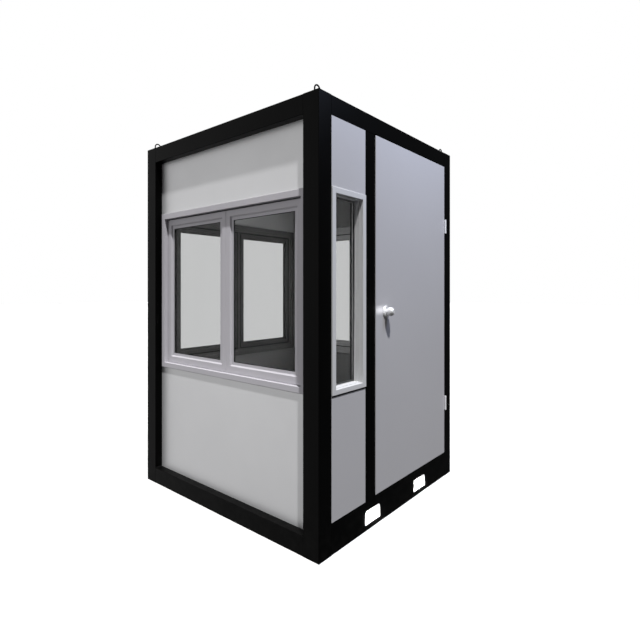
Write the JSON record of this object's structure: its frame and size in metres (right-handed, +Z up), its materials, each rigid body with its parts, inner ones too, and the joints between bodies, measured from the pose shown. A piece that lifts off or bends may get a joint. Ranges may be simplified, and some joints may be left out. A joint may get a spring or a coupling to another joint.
{
  "type": "guard booth",
  "caption": "Square steel-framed guard booth with a hinged door, a narrow window beside it, wide two-sash windows in the other walls, forklift pockets and lifting eyes.",
  "frame": {"origin": "middle of the footprint, on the ground the booth stands on", "axes": "+Z up, the door is in the -Y wall, +X to the right of someone outside who faces the door"},
  "size_m": [1.524, 1.5785, 2.3344],
  "materials": {
    "frame_paint": "satin",
    "wall_paint": "satin",
    "door_paint": "satin",
    "window_paint": "satin",
    "glass": "clear",
    "sleeve_paint": "satin",
    "deck": "matte",
    "roof_skin": "satin",
    "hinge_steel": "brushed",
    "knob_chrome": "polished",
    "cylinder_steel": "brushed"
  },
  "bodies": {
    "booth": {"corner_post_front_left": "frame_paint", "corner_post_front_right": "frame_paint", "corner_post_back_left": "frame_paint", "corner_post_back_right": "frame_paint", "top_rail_front": "frame_paint", "top_rail_back": "frame_paint", "side_top_rails": "frame_paint", "base_rail_front": "frame_paint", "base_rail_back": "frame_paint", "side_base_rails": "frame_paint", "door_post": "frame_paint", "door_stops": "frame_paint", "lifting_eyes": "frame_paint", "fork_sleeves": "sleeve_paint", "floor_joists": "frame_paint", "floor_deck": "deck", "roof_panel": "roof_skin", "left_wall_lower": "wall_paint", "left_wall_upper": "wall_paint", "left_window_frame": "window_paint", "left_window_stiles": "window_paint", "left_window_rails": "window_paint", "left_window_glass": "glass", "right_wall_lower": "wall_paint", "right_wall_upper": "wall_paint", "right_window_frame": "window_paint", "right_window_stiles": "window_paint", "right_window_rails": "window_paint", "right_window_glass": "glass", "back_wall_lower": "wall_paint", "back_wall_upper": "wall_paint", "back_window_frame": "window_paint", "back_window_stiles": "window_paint", "back_window_rails": "window_paint", "back_window_glass": "glass", "front_wall_lower": "wall_paint", "front_wall_upper": "wall_paint", "front_window_frame": "window_paint", "front_window_glass": "glass", "hinge_frame_halves": "hinge_steel"},
    "door": {"door_leaf": "door_paint", "hinge_leaf_halves": "hinge_steel", "knob_roses": "knob_chrome"},
    "knob": {"door_knob": "knob_chrome", "lock_cylinder": "cylinder_steel"}
  },
  "joints": [
    {"name": "door_hinge", "type": "hinge", "parent": "booth", "child": "door", "pos_m": [0.6644, -0.769, 1.2], "axis": [0, 0, 1], "range_deg": [0, 110]},
    {"name": "knob_turn", "type": "hinge", "parent": "door", "child": "knob", "pos_m": [-0.1411, -0.762, 1.1918], "axis": [0, 1, 0], "range_deg": [-60, 60], "stiffness_Nm_per_rad": 0.4}
  ]
}
